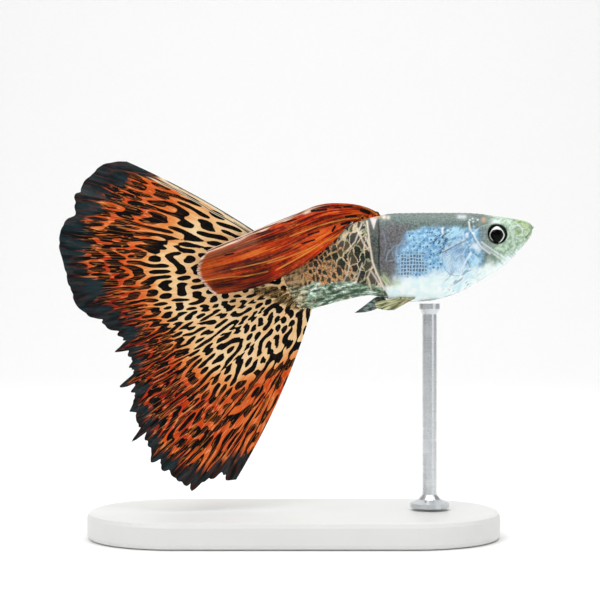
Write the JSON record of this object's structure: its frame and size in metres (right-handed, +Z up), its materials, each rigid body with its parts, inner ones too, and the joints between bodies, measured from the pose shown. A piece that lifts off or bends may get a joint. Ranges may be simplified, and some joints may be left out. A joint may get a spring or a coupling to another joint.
{
  "type": "fancy guppy",
  "caption": "Male fancy guppy in profile with a wide torn fan tail and a long swept dorsal fin, held over a flat base on a slim rod.",
  "frame": {"origin": "centre of the base's underside", "axes": "+X towards the fish's nose, +Y to its left, +Z up"},
  "size_m": [0.0531, 0.022, 0.0422],
  "materials": {
    "silver_skin": "wet satin, pale green and silver",
    "netted_skin": "wet satin, pale blue ahead and netted black and tan behind",
    "stem_skin": "wet satin, mint green and black",
    "eye": "wet gloss, dark with a silver ring",
    "tail_web": "thin web, cream to red with black spots and a dark edge",
    "dorsal_web": "thin web, red-orange with dark streaks",
    "dusky_web": "dark grey",
    "clear_web": "thin clear web",
    "pelvic_web": "thin yellow-green web",
    "stand_plastic": "satin pale grey",
    "stand_steel": "satin"
  },
  "bodies": {
    "root": {"head": "silver_skin", "trunk": "netted_skin", "tail_stem": "stem_skin", "eye_left": "eye", "eye_right": "eye", "tail_fin": "tail_web", "dorsal_fin": "dorsal_web", "anal_fin": "dusky_web", "pectoral_fin_left": "clear_web", "pectoral_fin_right": "clear_web", "pelvic_fin_left": "pelvic_web", "pelvic_fin_right": "pelvic_web", "stand_base": "stand_plastic", "stand_rod": "stand_steel"}
  },
  "joints": []
}
